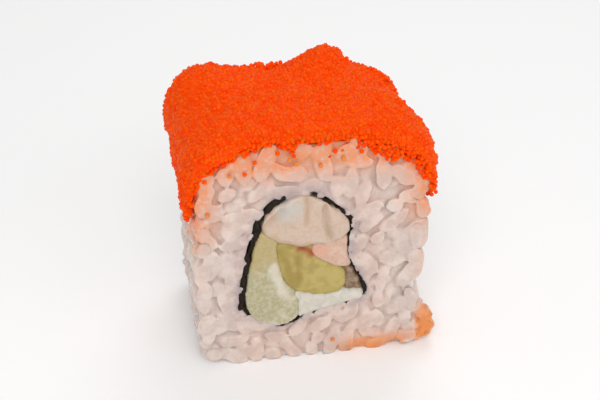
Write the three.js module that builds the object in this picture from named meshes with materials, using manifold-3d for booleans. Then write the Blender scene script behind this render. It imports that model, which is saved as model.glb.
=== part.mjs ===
// One slice of an inside-out sushi roll: a squarish ring of rice round a rolled sheet of nori, which
// holds shrimp, salmon, avocado, cucumber, soft cheese and crab, under a blanket of small orange roe.
//
// Millimetres, +Z up. Y runs along the roll, so the two cut faces look along -Y and +Y.
// X is to the right when the front cut face is looked at. The slice rests on z = 0.
import * as THREE from "three";
import { mergeVertices } from "three/addons/utils/BufferGeometryUtils.js";
import Module from "manifold-3d";

const wasm = await Module();
wasm.setup();

// ---- Driving dimensions ----
const ROLL_WIDTH = 39; // rice, side to side
const ROLL_HEIGHT = 41.5; // rice, from the board to the crown under the roe
const SLICE = 25; // cut to cut, along the roll
const CROWN_SQUARENESS = 4.6; // exponents of the superellipse that a rolling mat presses
const BASE_SQUARENESS = 7.5;
const PRESSED_FLAT = 0.9; // how much of the round underside the board flattens

const GRAIN = { length: 6.0, width: 2.8, thick: 2.4 }; // a cooked short grain
const GRAIN_SIZES = [0.88, 1.12]; // smallest and largest, as shares of that
const GRAIN_SPACING = 4.0; // middle to middle
const GRAIN_STANDS = 0.55; // how far a grain stands out of the packed rice

const SHEET = 0.55; // thickness of the damp nori
const FLAP = [0.03, 0.35]; // where it lies double: shares of the way round, from the top down the left
const GAP = 0.3; // between neighbouring pieces

const ROE_DEPTH = 3.3; // thickness of the roe over the crown
const ROE_EDGE = 0.7; // and at its edge on the flanks
const ROE_PROUD = 0.5; // how far it swells past each cut
const ROE_LEFT = THREE.MathUtils.degToRad(154); // where it ends on each flank, seen from the middle
const ROE_RIGHT = THREE.MathUtils.degToRad(24);
const ROE_RELIEF = 0.28; // height of the bumps that the packed eggs make
const EGG = 0.6; // radius of one egg
const LOOSE_EGGS = 34;

const FRONT = -SLICE / 2;
const BACK = SLICE / 2;
const CENTRE = ROLL_HEIGHT / 2; // height of the roll's middle

// ---- Materials ----
const material = (color, roughness) => new THREE.MeshStandardMaterial({ color, roughness, metalness: 0 });
const RICE = material("#E3DAD0", 0.45);
const SEAWEED = material("#1C1A12", 0.5);
const SHRIMP = material("#DCC8B8", 0.4);
const SALMON = material("#E0A088", 0.4);
const CUCUMBER = material("#C3C79A", 0.3);
const AVOCADO = material("#C2B262", 0.45);
const CHEESE = material("#EDE8DA", 0.4);
const CRAB = material("#B9A48E", 0.4);
const ROE = material("#F65204", 0.3);

// ---- Helpers ----

// Random numbers from 0 to 1 that are the same on every run.
function seeded(seed) {
  let state = seed;
  return () => {
    state = (state * 1664525 + 1013904223) % 4294967296;
    return state / 4294967296;
  };
}

// A random number from low to high.
const between = (random, [low, high]) => low + (high - low) * random();

// A bump of height 1 that fades over a width.
const bump = (distance, width) => Math.exp(-((distance / width) ** 2));

// A solid that can be joined and cut, from a closed geometry, and back.
const SAME_POINT = 1e-4;
function solid(geometry) {
  const bare = geometry.clone();
  bare.deleteAttribute("normal");
  bare.deleteAttribute("uv");
  const merged = mergeVertices(bare, SAME_POINT);
  return new wasm.Manifold(
    new wasm.Mesh({
      numProp: 3,
      vertProperties: new Float32Array(merged.attributes.position.array),
      triVerts: new Uint32Array(merged.index.array),
    }),
  );
}

function geometryOf(made) {
  const mesh = made.getMesh();
  const geometry = new THREE.BufferGeometry();
  geometry.setAttribute("position", new THREE.BufferAttribute(mesh.vertProperties, 3));
  geometry.setIndex(new THREE.BufferAttribute(mesh.triVerts, 1));
  geometry.computeVertexNormals();
  return geometry;
}

const join = (solids) => wasm.Manifold.union(solids);

// The largest body of a solid, without the scraps that a cut may leave.
function mainBody(made) {
  return made.decompose().sort((a, b) => b.volume() - a.volume())[0];
}

// ---- Outlines in the cross-section, as lists of Vector2 (x, z) ----

// A smooth closed line through a few points, counter-clockwise.
function smooth(points, count) {
  const nodes = points.map(([x, z]) => new THREE.Vector3(x, z, 0));
  const curve = new THREE.CatmullRomCurve3(nodes, true, "centripetal");
  const line = curve.getSpacedPoints(count).slice(0, count).map((p) => new THREE.Vector2(p.x, p.y));
  return THREE.ShapeUtils.area(line) > 0 ? line : line.reverse();
}

// The outward normal of a counter-clockwise closed line at point i.
function outward(line, i) {
  const before = line[(i + line.length - 1) % line.length];
  const after = line[(i + 1) % line.length];
  return new THREE.Vector2(after.y - before.y, before.x - after.x).normalize();
}

// The line moved outwards by a distance, which may depend on the share of the way round.
function grown(line, distance) {
  const by = typeof distance === "function" ? distance : () => distance;
  return line.map((p, i) => p.clone().addScaledVector(outward(line, i), by(i / line.length)));
}

function inside(line, x, z) {
  let odd = false;
  line.forEach((a, i) => {
    const b = line[(i + 1) % line.length];
    if (a.y > z !== b.y > z && x < ((b.x - a.x) * (z - a.y)) / (b.y - a.y) + a.x) odd = !odd;
  });
  return odd;
}

// From the middle of the roll to the rice surface. Angle 0 points right, a quarter turn up.
function rollRadius(angle) {
  const upper = Math.sin(angle) > 0;
  const n = upper ? CROWN_SQUARENESS : BASE_SQUARENESS;
  const sideways = Math.abs(Math.cos(angle)) / (ROLL_WIDTH / 2);
  const upright = Math.abs(Math.sin(angle)) / (ROLL_HEIGHT / 2 + (upper ? 0 : PRESSED_FLAT));
  return (sideways ** n + upright ** n) ** (-1 / n);
}

function polar(angle, radius) {
  return new THREE.Vector2(Math.cos(angle) * radius, CENTRE + Math.sin(angle) * radius);
}

function rollOutline(count, inset = 0) {
  return Array.from({ length: count }, (_, i) => {
    const angle = (i / count) * Math.PI * 2;
    return polar(angle, rollRadius(angle) - inset);
  });
}

// ---- Solids ----

// The filling turns, shifts and spreads a little on its way through the slice, the same for all of it.
const FILLING_X = -1.8; // its middle on the front cut
const FILLING_Z = 20.5;
const FILLING_TURN = 0.2; // radians from cut to cut
const FILLING_SHIFT = 0.9; // sideways, from cut to cut
const FILLING_SPREAD = 0.05; // how much wider and lower it is half way through
function drift(position) {
  const along = (position.y - FRONT) / SLICE;
  const turn = FILLING_TURN * along;
  const spread = 1 + FILLING_SPREAD * Math.sin(along * Math.PI);
  const x = (position.x - FILLING_X) * spread;
  const z = (position.z - FILLING_Z) / spread;
  position.x = FILLING_X + FILLING_SHIFT * along + x * Math.cos(turn) - z * Math.sin(turn);
  position.z = FILLING_Z + x * Math.sin(turn) + z * Math.cos(turn);
}

// A bar of a given outline through the slice, from y = front to y = back, with softened ends.
// A tool that cuts other bars reaches past the cut faces.
const PAST = 2;
function bar(outline, front, back, { hole = null, steps = 3, soften = 0, bend = null } = {}) {
  const shape = new THREE.Shape(outline);
  if (hole) shape.holes.push(new THREE.Path(hole));
  const geometry = new THREE.ExtrudeGeometry(shape, {
    depth: back - front - 2 * soften,
    steps,
    bevelEnabled: soften > 0,
    bevelThickness: soften,
    bevelSize: soften,
    bevelOffset: -soften,
    bevelSegments: 1,
  });
  geometry.rotateX(Math.PI / 2);
  geometry.translate(0, back - soften, 0);
  if (bend) {
    const at = geometry.attributes.position;
    const point = new THREE.Vector3();
    for (let i = 0; i < at.count; i++) {
      point.fromBufferAttribute(at, i);
      bend(point);
      at.setXYZ(i, point.x, point.y, point.z);
    }
  }
  return solid(geometry);
}

// One grain of rice, lying along a direction in the plane across a normal.
const GRAIN_SIDES = 5;
const GRAIN_RINGS = 4;
function grain(middle, normal, along, size) {
  const geometry = new THREE.SphereGeometry(0.5, GRAIN_SIDES, GRAIN_RINGS);
  geometry.scale(GRAIN.width * size, GRAIN.length * size, GRAIN.thick * size);
  const side = new THREE.Vector3().crossVectors(along, normal);
  geometry.applyMatrix4(new THREE.Matrix4().makeBasis(side, along, normal).setPosition(middle));
  return solid(geometry);
}

function egg(middle, radius = EGG) {
  const geometry = new THREE.IcosahedronGeometry(radius, 0);
  geometry.translate(middle.x, middle.y, middle.z);
  return solid(geometry);
}

// Places spread evenly but irregularly: darts that land too near an earlier one are thrown again.
function scatter(random, tries, spacing, throwDart) {
  const kept = [];
  for (let i = 0; i < tries; i++) {
    const dart = throwDart(random);
    if (dart && kept.every((other) => other.middle.distanceTo(dart.middle) > spacing)) kept.push(dart);
  }
  return kept;
}

// A direction across a normal, turned by an angle.
function across(normal, angle) {
  const start = Math.abs(normal.y) > 0.9 ? new THREE.Vector3(1, 0, 0) : new THREE.Vector3(0, 1, 0);
  return start.cross(normal).normalize().applyAxisAngle(normal, angle);
}

// Grains lying on the flanks and the lower edges, where no roe covers them.
const FLANK_TRIES = 2600;
const OFF_BOARD = 1.2; // the least height of a grain's middle
const FLANK_BED = GRAIN.thick / 2; // how deep its middle lies in the rice
function flankGrains(random) {
  const outline = rollOutline(160);
  return scatter(random, FLANK_TRIES, GRAIN_SPACING, (next) => {
    const i = Math.floor(next() * outline.length);
    const y = FRONT + next() * SLICE;
    const angle = Math.atan2(outline[i].y - CENTRE, outline[i].x);
    if (outline[i].y < OFF_BOARD || (angle > ROE_RIGHT && angle < ROE_LEFT)) return null;
    const flat = outward(outline, i);
    const normal = new THREE.Vector3(flat.x, 0, flat.y);
    const middle = new THREE.Vector3(outline[i].x, y, outline[i].y).addScaledVector(normal, -FLANK_BED);
    return { middle, normal, angle: next() * Math.PI, size: between(next, GRAIN_SIZES) };
  }).map((g) => grain(g.middle, g.normal, across(g.normal, g.angle), g.size));
}

// Grains that the knife has gone through, on one cut face, round the filling.
const CUT_TRIES = 1500;
const CUT_BED = [0.25, 1]; // how deep their middles lie
const CUT_LEAN = 1.4; // the smaller, the more they lean out of the face
const RIM = 2.3; // how far their middles keep from the flanks and from the nori
const ROUND_NORI = 1.2;
function cutGrains(random, face, wrap) {
  const out = Math.sign(face);
  const rim = rollOutline(80, RIM);
  const hole = grown(wrap, ROUND_NORI);
  return scatter(random, CUT_TRIES, GRAIN_SPACING, (next) => {
    const x = (next() - 0.5) * ROLL_WIDTH;
    const z = next() * ROLL_HEIGHT;
    if (!inside(rim, x, z) || inside(hole, x, z)) return null;
    const middle = new THREE.Vector3(x, face - out * between(next, CUT_BED), z);
    const normal = new THREE.Vector3(next() - 0.5, out * CUT_LEAN, next() - 0.5).normalize();
    return { middle, normal, angle: next() * Math.PI, size: between(next, GRAIN_SIZES) };
  }).map((g) => grain(g.middle, g.normal, across(g.normal, g.angle), g.size));
}

// The blanket of roe. Lumps are [x, y, height, width] on top of its even thickness.
const LUMPS = [
  [-14, 9, 3.3, 6],
  [5, 10, 3.8, 3.8],
  [-3.5, 11, -1.2, 4],
  [16, 9, -2.9, 7.5],
  [-3, -6, 0.8, 6],
  [8, -5, 0.7, 5],
  [-14, -6, 0.5, 5],
];
const ROUNDED = 0.55; // how much thinner it is right at the cuts
function roeThickness(angle, share, y) {
  const x = Math.cos(angle) * rollRadius(angle);
  const taper = 1 - Math.abs(2 * share - 1) ** 5;
  const lumps = LUMPS.reduce((sum, [lx, ly, height, width]) => {
    return sum + height * bump(Math.hypot(x - lx, y - ly), width);
  }, 0);
  const rounded = 1 - ROUNDED * (Math.abs(y) / BACK) ** 10;
  return ROE_EDGE + (ROE_DEPTH - ROE_EDGE + lumps) * taper * Math.max(rounded, 1 - ROUNDED);
}

// The edges of the blanket are uneven: on the flanks along the slice, and at the cuts round the roll.
const ragged = (y, phase) => 0.045 * Math.sin(0.55 * y + phase) + 0.025 * Math.sin(1.3 * y + 2 * phase);
const swell = (angle) => ROE_PROUD * (1 + 0.5 * Math.sin(9 * angle) + 0.3 * Math.sin(17 * angle + 2));

// A closed shell over the rice, from one height above it to another.
const ROE_COLUMNS = 28;
const ROE_ROWS = 11;
function blanket({ from, to, wider = 0, longer = 0 }) {
  const points = [];
  for (const layer of [from, to]) {
    for (let row = 0; row <= ROE_ROWS; row++) {
      const along = (2 * row) / ROE_ROWS - 1;
      const start = ROE_LEFT + ragged(along * BACK, 1) + wider;
      const end = ROE_RIGHT + ragged(along * BACK, 2.6) - wider;
      for (let column = 0; column <= ROE_COLUMNS; column++) {
        const share = column / ROE_COLUMNS;
        const angle = start + (end - start) * share;
        const y = along * (BACK + swell(angle) + longer);
        const at = polar(angle, rollRadius(angle) + layer(angle, share, y));
        points.push(at.x, y, at.y);
      }
    }
  }
  const faces = [];
  const width = ROE_COLUMNS + 1;
  const below = (row, column) => row * width + column;
  const above = (row, column) => (ROE_ROWS + 1) * width + row * width + column;
  const quad = (a, b, c, d) => faces.push(a, b, c, a, c, d);
  for (let r = 0; r < ROE_ROWS; r++) {
    for (let c = 0; c < ROE_COLUMNS; c++) {
      quad(above(r, c), above(r, c + 1), above(r + 1, c + 1), above(r + 1, c));
      quad(below(r, c), below(r + 1, c), below(r + 1, c + 1), below(r, c + 1));
    }
    quad(below(r, 0), above(r, 0), above(r + 1, 0), below(r + 1, 0));
    quad(below(r + 1, ROE_COLUMNS), above(r + 1, ROE_COLUMNS), above(r, ROE_COLUMNS), below(r, ROE_COLUMNS));
  }
  for (let c = 0; c < ROE_COLUMNS; c++) {
    quad(below(0, c), below(0, c + 1), above(0, c + 1), above(0, c));
    quad(above(ROE_ROWS, c), above(ROE_ROWS, c + 1), below(ROE_ROWS, c + 1), below(ROE_ROWS, c));
  }
  const geometry = new THREE.BufferGeometry();
  geometry.setAttribute("position", new THREE.Float32BufferAttribute(points, 3));
  geometry.setIndex(faces);
  return solid(geometry);
}

const EGG_TRIES = 900;
const EGG_SPACING = 2.6;
const EGG_LIFT = 0.1; // of its middle above the blanket
function makeRoe(random) {
  const bumpy = (...where) => roeThickness(...where) + ROE_RELIEF * (2 * random() - 1);
  const body = blanket({ from: () => GAP, to: bumpy });
  const loose = scatter(random, EGG_TRIES, EGG_SPACING, (next) => {
    const share = between(next, [0.06, 0.94]);
    const y = (next() - 0.5) * (SLICE - 2 * EGG);
    const angle = ROE_LEFT + (ROE_RIGHT - ROE_LEFT) * share;
    const at = polar(angle, rollRadius(angle) + roeThickness(angle, share, y) + EGG_LIFT);
    return { middle: new THREE.Vector3(at.x, y, at.y) };
  });
  return mainBody(join([body, ...loose.slice(0, LOOSE_EGGS).map((e) => egg(e.middle))]));
}

// ---- The wrap and what is in it ----

// The sheet of nori, seen on the front cut: a bell, open side down. The line starts at the top.
const WRAP = [
  [-1.9, 33.2], [-5.0, 32.1], [-7.8, 29.2], [-8.7, 26.0], [-9.9, 21.8], [-10.8, 16.2], [-11.0, 11.6],
  [-9.3, 9.0], [-5.6, 7.6], [-1.8, 9.0], [3.4, 10.5], [8.7, 12.0], [8.0, 15.0], [6.4, 18.8],
  [5.8, 23.2], [6.1, 27.2], [3.4, 30.2], [0.9, 32.3],
];
const WRAP_POINTS = 44;
const NORI_SUNK = 0.1; // below the cuts

// The sheet goes once round, and its end lies on its beginning.
const sheets = (share) => (share > FLAP[0] && share < FLAP[1] ? 2 : 1) * SHEET;
function makeNori(line) {
  const inner = [...line].reverse();
  return bar(grown(line, sheets), FRONT + NORI_SUNK, BACK - NORI_SUNK, { hole: inner, bend: drift });
}

// Each piece of filling: its outline on the front cut, how far it stands out of each cut, and its finish.
const FILLING = [
  {
    name: "shrimp", finish: SHRIMP, front: 0.5, back: 0.3,
    outline: [
      [-8.4, 27.9], [-7.0, 30.0], [-5.6, 31.6], [-3.4, 33.4], [-0.2, 33.4], [1.8, 31.5], [3.4, 30.5],
      [5.9, 29.0], [6.4, 26.8], [5.0, 24.3], [1.4, 23.5], [-2.4, 23.5], [-5.6, 24.8],
    ],
  },
  {
    name: "salmon", finish: SALMON, front: -0.3, back: 0.2,
    outline: [
      [0.0, 22.8], [2.0, 24.2], [5.2, 24.6], [6.8, 22.8], [7.0, 19.8], [6.4, 18.2], [4.0, 18.3],
      [2.0, 19.4], [0.4, 20.9],
    ],
  },
  {
    name: "avocado", finish: AVOCADO, front: -0.1, back: -0.4,
    outline: [
      [-5.5, 25.2], [-2.6, 24.6], [0.4, 23.4], [2.2, 20.0], [4.0, 18.2], [5.3, 17.5], [5.5, 15.6],
      [5.0, 13.3], [2.8, 12.8], [0.2, 13.2], [-2.6, 14.1], [-4.2, 15.7], [-5.2, 18.0], [-5.6, 21.0],
    ],
  },
  {
    name: "cucumber", finish: CUCUMBER, front: 0.3, back: 0.4,
    outline: [
      [-8.2, 26.4], [-10.4, 22.4], [-11.4, 17.0], [-11.8, 12.4], [-10.4, 8.8], [-6.4, 7.0], [-3.6, 7.4],
      [-2.3, 9.6], [-2.5, 12.6], [-3.8, 15.3], [-5.1, 18.0], [-5.5, 21.0], [-5.6, 24.6], [-6.6, 25.6],
    ],
  },
  {
    name: "soft_cheese", finish: CHEESE, front: 0.2, back: 0.1,
    outline: [
      [-3.0, 14.2], [0.3, 13.3], [3.0, 12.9], [5.2, 13.1], [9.0, 12.4], [9.4, 10.8], [4.6, 9.4],
      [-0.4, 8.2], [-3.0, 7.8],
    ],
  },
  {
    name: "crab", finish: CRAB, front: -0.6, back: -0.3,
    outline: [[5.0, 17.8], [6.8, 18.6], [8.6, 15.6], [9.8, 12.2], [7.0, 12.1], [5.0, 13.1]],
  },
];
const FILLING_POINTS = 18;
const SOFT_EDGE = 0.45; // rounding of a piece's cut ends

// The pieces fill the wrap: each gives way, by the gap, to those before it in the list.
function makeFilling(line) {
  const room = bar(grown(line, -GAP), FRONT - PAST, BACK + PAST, { bend: drift });
  const taken = [];
  return FILLING.map(({ name, finish, front, back, outline }) => {
    const shape = smooth(outline, FILLING_POINTS);
    let made = bar(shape, FRONT - front, BACK + back, { soften: SOFT_EDGE, bend: drift }).intersect(room);
    if (taken.length) made = made.subtract(join(taken));
    taken.push(bar(grown(shape, GAP), FRONT - PAST, BACK + PAST, { bend: drift }));
    return { name, finish, made: mainBody(made) };
  });
}

// ---- The rice ----

// Stray eggs on the rice: [x, z] on the front cut, and a smear of them down the right flank's lower corner.
const FACE_EGGS = [
  [-16.6, 31.0], [-12.9, 37.8], [-3.6, 39.8], [-2.6, 39.0], [1.2, 38.2], [4.8, 39.2], [3.6, 3.2],
];
const SMEAR_EGGS = 14;
const SMEAR_EGG = 1.2 * EGG;
const SMEAR_FROM = -0.46; // radians below the roll's middle
const SMEAR_TO = -0.78;
const SMEAR_DEPTH = [0.9, 4.9]; // behind the front cut
function strayEggs(random) {
  const onFace = FACE_EGGS.map(([x, z]) => egg(new THREE.Vector3(x, FRONT, z)));
  const onFlank = Array.from({ length: SMEAR_EGGS }, (_, i) => {
    const angle = SMEAR_FROM + ((SMEAR_TO - SMEAR_FROM) * (i + random())) / SMEAR_EGGS;
    const at = polar(angle, rollRadius(angle));
    return egg(new THREE.Vector3(at.x, FRONT + between(random, SMEAR_DEPTH), at.y), SMEAR_EGG);
  });
  return [...onFace, ...onFlank];
}

const CUT_RELIEF = 0.45; // how far the packed rice between the cut grains lies back
const ROE_CLEARANCE = 3; // how much room above the roe is kept free of grains
function makeRice(line, random) {
  const wrapped = grown(line, (share) => sheets(share) + GAP);
  const turned = (y) =>
    wrapped.map((p) => {
      const point = new THREE.Vector3(p.x, y, p.y);
      drift(point);
      return new THREE.Vector2(point.x, point.z);
    });
  const packed = bar(rollOutline(64, GRAIN_STANDS), FRONT + CUT_RELIEF, BACK - CUT_RELIEF, { steps: 1 });
  const grains = [
    ...flankGrains(random),
    ...cutGrains(random, FRONT, turned(FRONT)),
    ...cutGrains(random, BACK, turned(BACK)),
  ];
  const betweenCuts = new THREE.BoxGeometry(2 * ROLL_WIDTH, SLICE, 4 * ROLL_HEIGHT);
  const board = new THREE.BoxGeometry(2 * ROLL_WIDTH, 2 * SLICE, ROLL_HEIGHT);
  board.translate(0, 0, -ROLL_HEIGHT / 2);
  const hole = bar(wrapped, FRONT - PAST, BACK + PAST, { bend: drift });
  const underRoe = blanket({
    from: () => GAP / 2,
    to: (...where) => roeThickness(...where) + ROE_CLEARANCE,
    wider: 0.02,
    longer: 1,
  });
  const sliced = join([packed, ...grains]).intersect(solid(betweenCuts));
  const strewn = join([sliced, ...strayEggs(random)]);
  return mainBody(strewn.subtract(join([hole, underRoe, solid(board)])));
}

// ---- The whole slice ----
const roll = new THREE.Group();
function add(name, made, finish) {
  const mesh = new THREE.Mesh(geometryOf(made), finish);
  mesh.name = name;
  roll.add(mesh);
}

const line = smooth(WRAP, WRAP_POINTS);
add("rice", makeRice(line, seeded(7)), RICE);
add("nori", makeNori(line), SEAWEED);
makeFilling(line).forEach(({ name, made, finish }) => add(name, made, finish));
add("roe", makeRoe(seeded(11)), ROE);

// The origin is under the middle of the slice, on the board.
const extent = new THREE.Box3().setFromObject(roll);
const middle = extent.getCenter(new THREE.Vector3());
roll.position.set(-middle.x, -middle.y, -extent.min.z);

export default roll;
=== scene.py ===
"""Looks of one slice of an inside-out sushi roll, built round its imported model."""
import math

import bmesh
import bpy
import numpy as np
from bpy.props import FloatProperty, FloatVectorProperty, IntProperty, PointerProperty
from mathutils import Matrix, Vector
from mathutils.bvhtree import BVHTree
from mathutils.kdtree import KDTree


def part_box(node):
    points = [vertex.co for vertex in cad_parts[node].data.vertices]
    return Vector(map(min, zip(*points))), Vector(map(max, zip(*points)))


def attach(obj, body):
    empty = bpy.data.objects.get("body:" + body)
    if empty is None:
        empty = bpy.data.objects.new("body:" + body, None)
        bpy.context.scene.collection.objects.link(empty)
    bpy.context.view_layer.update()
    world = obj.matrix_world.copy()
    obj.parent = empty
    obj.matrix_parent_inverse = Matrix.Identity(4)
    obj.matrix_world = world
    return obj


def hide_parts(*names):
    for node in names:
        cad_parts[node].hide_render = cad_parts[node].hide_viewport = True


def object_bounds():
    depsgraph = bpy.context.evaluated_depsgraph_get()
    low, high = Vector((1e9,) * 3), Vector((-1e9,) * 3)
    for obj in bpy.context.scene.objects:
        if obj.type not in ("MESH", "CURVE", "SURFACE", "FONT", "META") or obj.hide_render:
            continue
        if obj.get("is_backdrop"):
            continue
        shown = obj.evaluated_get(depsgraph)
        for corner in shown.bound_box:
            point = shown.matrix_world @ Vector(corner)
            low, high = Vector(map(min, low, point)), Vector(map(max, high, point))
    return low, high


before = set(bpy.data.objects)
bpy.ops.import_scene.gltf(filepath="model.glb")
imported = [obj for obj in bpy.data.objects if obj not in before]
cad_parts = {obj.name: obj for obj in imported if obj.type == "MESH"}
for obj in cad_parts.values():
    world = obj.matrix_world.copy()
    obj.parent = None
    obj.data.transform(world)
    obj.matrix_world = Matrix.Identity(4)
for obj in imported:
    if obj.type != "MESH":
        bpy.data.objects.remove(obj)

bl_info = {
    "name": "Sushi roll slice",
    "version": (1, 0, 0),
    "blender": (4, 5, 0),
    "location": "3D View > Sidebar > Sushi",
    "description": "Makes the rice, nori, filling and roe of one slice of an inside-out roll",
    "category": "Add Mesh",
}

BODY = "root"
MM = 0.001  # one millimetre, in metres


def linear(hex_colour):
    """A colour written as sRGB hex, as linear red, green, blue and an alpha of 1."""
    parts = [int(hex_colour[i : i + 2], 16) / 255 for i in (1, 3, 5)]
    return tuple(c / 12.92 if c <= 0.04045 else ((c + 0.055) / 1.055) ** 2.4 for c in parts) + (1.0,)


def length_prop(name, description, millimetres):
    return FloatProperty(
        name=name, description=description, default=millimetres * MM, subtype="DISTANCE", unit="LENGTH"
    )


def colour_prop(name, description, hex_colour):
    return FloatVectorProperty(
        name=name,
        description=description,
        default=linear(hex_colour),
        size=4,
        subtype="COLOR",
        min=0,
        max=1,
    )


# ---- Sizes and colours that a user would change ----

# The slice's own measures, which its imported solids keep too.
CUT_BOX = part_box("nori")
NORI_SUNK = 0.1  # mm, from the cut faces down to the edge of the nori
FRONT = CUT_BOX[0].y / MM - NORI_SUNK  # the two cut faces, in mm
BACK = CUT_BOX[1].y / MM + NORI_SUNK


class SushiSizes(bpy.types.PropertyGroup):
    roll_width: length_prop("Rice width", "Side to side, without roe", 39.0)
    roll_height: length_prop("Rice height", "From the board to the crown under the roe", 41.5)
    grain_length: length_prop("Grain length", "Long axis of a cooked grain", 6.0)
    grain_width: length_prop("Grain width", "Short axis of a cooked grain", 2.45)
    rice_skin: length_prop("Rice detail", "Finest detail where grains stick together", 0.22)
    egg_size: length_prop("Egg size", "Diameter of one egg of the roe", 0.72)
    egg_spacing: length_prop("Egg spacing", "Middle to middle of neighbouring eggs", 0.51)
    filling_skin: length_prop("Filling detail", "Finest detail of the pieces of filling", 0.32)
    crinkle: length_prop("Nori crinkle", "How far the damp sheet is crinkled", 0.16)
    seed: IntProperty(name="Seed", description="Start of all the random draws", default=5, min=0)


class SushiColours(bpy.types.PropertyGroup):
    rice: colour_prop("Rice", "Cooked grains, opaque middle", "#DAD3CD")
    # Rice starch: the translucent starch between the grains, and also the colour of the painted shade in the
    # creases between them.
    rice_starch_and_crease_shade: colour_prop("Rice starch", "Translucent starch between the grains", "#BCB0AA")
    rice_tint: colour_prop("Roe stain", "Rice that the roe has run into", "#E29568")
    # Painted shade: the rice is drawn darker, in lilac grey, close to the nori, where the dark sheet shows
    # through it.
    rice_nori_shade: colour_prop("Rice by the nori", "Where the dark sheet shines through", "#93868F")
    rice_soaked: colour_prop("Soaked rice", "Rice at the lower right edge, full of roe juice", "#E08C48")
    nori: colour_prop("Nori", "Damp pressed seaweed", "#1C1208")
    nori_sheen: colour_prop("Nori veins", "Where the sheet is thin", "#3A2A16")
    shrimp: colour_prop("Shrimp", "Cooked flesh", "#CEB7A6")
    # Shrimp bands: tan flesh in random bands, and painted shade in the shrimp's folds and along its lower
    # edge.
    shrimp_tan_and_fold_shade: colour_prop("Shrimp bands", "Tan flesh in its folds and at its lower edge", "#BFA284")
    shrimp_clear: colour_prop("Clear shrimp", "Greyish, half clear flesh", "#C2BCB5")
    salmon: colour_prop("Salmon", "Pale pink flesh", "#CDA58F")
    salmon_pale_and_highlight: colour_prop("Salmon fat", "Lines of fat", "#D6BBA8")
    # Salmon fat: paler flesh in random bands, and also a painted highlight line just inside the salmon's top
    # and right edges.
    salmon_coral: colour_prop("Salmon edge", "Deeper pink at its cut edge", "#DA9E86")
    avocado: colour_prop("Avocado", "Ripe flesh", "#B8A560")
    avocado_rim: colour_prop("Avocado bands", "Golden olive bands where it has bruised", "#9A8238")
    avocado_stain: colour_prop("Avocado stain", "Where roe has run into it", "#A04614")
    cucumber: colour_prop("Cucumber", "Pale flesh", "#AEA681")
    cucumber_seeds: colour_prop("Cucumber seeds", "Watery middle with seeds", "#D2C9B6")
    cucumber_rim: colour_prop("Cucumber top", "Khaki flesh near the skin", "#B7A371")
    cheese: colour_prop("Soft cheese", "Cream-white cheese", "#D5D0C7")
    cheese_wet: colour_prop("Wet cheese", "Greyish, wet spots", "#C8C0B0")
    # Painted shade: the crab lies in a hollow low at the right of the filling, and its dark brown stands for
    # the shade there.
    crab: colour_prop("Crab", "Shredded meat", "#735A42")
    crab_light: colour_prop("Light crab", "Paler shreds", "#A58B73")
    roe: colour_prop("Roe", "Eggs", "#FF5000")
    roe_deep: colour_prop("Deep roe", "Eggs deeper in the heap", "#FF4600")
    roe_pale: colour_prop("Pale roe", "Lighter eggs", "#FF5E06")
    roe_soaked: colour_prop("Soaked roe", "Stray eggs that have lost colour", "#E08A44")
    floor: colour_prop("Floor", "Plain pale board", "#FFFFFF")


# ---- Arrays of points, in millimetres ----


def unit(rows):
    return rows / np.maximum(np.linalg.norm(rows, axis=-1, keepdims=True), 1e-9)


def wavy(points, size, seed, waves=14):
    """Smooth irregular numbers from about -1 to 1 at the points, with swells of a size."""
    draw = np.random.default_rng(seed)
    ways = unit(draw.normal(size=(waves, 3))) * (2 * np.pi / (size * draw.uniform(0.7, 1.6, (waves, 1))))
    shift = draw.uniform(0, 2 * np.pi, waves)
    return np.sin(points @ ways.T + shift).sum(axis=1) / math.sqrt(waves / 2) / 1.6


def spread(places, gap):
    """Indexes of the places that keep a gap to those kept before them. A long thing is a row of points."""
    rows = places.reshape(len(places), -1, 3)
    keys = np.floor(rows / gap).astype(int)
    around = [(i, j, k) for i in (-1, 0, 1) for j in (-1, 0, 1) for k in (-1, 0, 1)]
    least = gap * gap
    cells = {}
    kept = []

    def free(point, key):
        x, y, z = point
        for i, j, k in around:
            for other in cells.get((key[0] + i, key[1] + j, key[2] + k), ()):
                if (x - other[0]) ** 2 + (y - other[1]) ** 2 + (z - other[2]) ** 2 < least:
                    return False
        return True

    for index, (row, key) in enumerate(zip(rows.tolist(), keys.tolist())):
        if all(free(point, cell) for point, cell in zip(row, key)):
            for point, cell in zip(row, key):
                cells.setdefault(tuple(cell), []).append(point)
            kept.append(index)
    return np.array(kept)


def ball(level):
    """Points and triangles of a round ball of radius 1."""
    made = bmesh.new()
    bmesh.ops.create_icosphere(made, subdivisions=level, radius=1)
    co = np.array([v.co for v in made.verts])
    faces = np.array([[v.index for v in f.verts] for f in made.faces])
    made.free()
    return co, faces


def copies(base, faces, middles, axes, sizes):
    """Many copies of a base shape. axes holds three rows for each copy, sizes three lengths."""
    co = np.einsum("vk,nk,nkj->nvj", base, sizes, axes) + middles[:, None, :]
    tops = np.arange(len(middles))[:, None, None] * len(base)
    return co.reshape(-1, 3), (faces[None] + tops).reshape(-1, faces.shape[1])


def joined(*meshes):
    """One mesh from several, as points and faces."""
    tops = np.cumsum([0] + [len(co) for co, _ in meshes[:-1]])
    faces = [own + top for (_, own), top in zip(meshes, tops)]
    return np.concatenate([co for co, _ in meshes]), np.concatenate(faces)


def solid_of(node):
    """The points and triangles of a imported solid, in millimetres."""
    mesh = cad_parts[node].data
    co = np.empty(len(mesh.vertices) * 3)
    mesh.vertices.foreach_get("co", co)
    mesh.calc_loop_triangles()
    faces = np.empty(len(mesh.loop_triangles) * 3, int)
    mesh.loop_triangles.foreach_get("vertices", faces)
    return co.reshape(-1, 3) / MM, faces.reshape(-1, 3)


def tree_of(co, faces):
    return BVHTree.FromPolygons(co.tolist(), faces.tolist())


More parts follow.
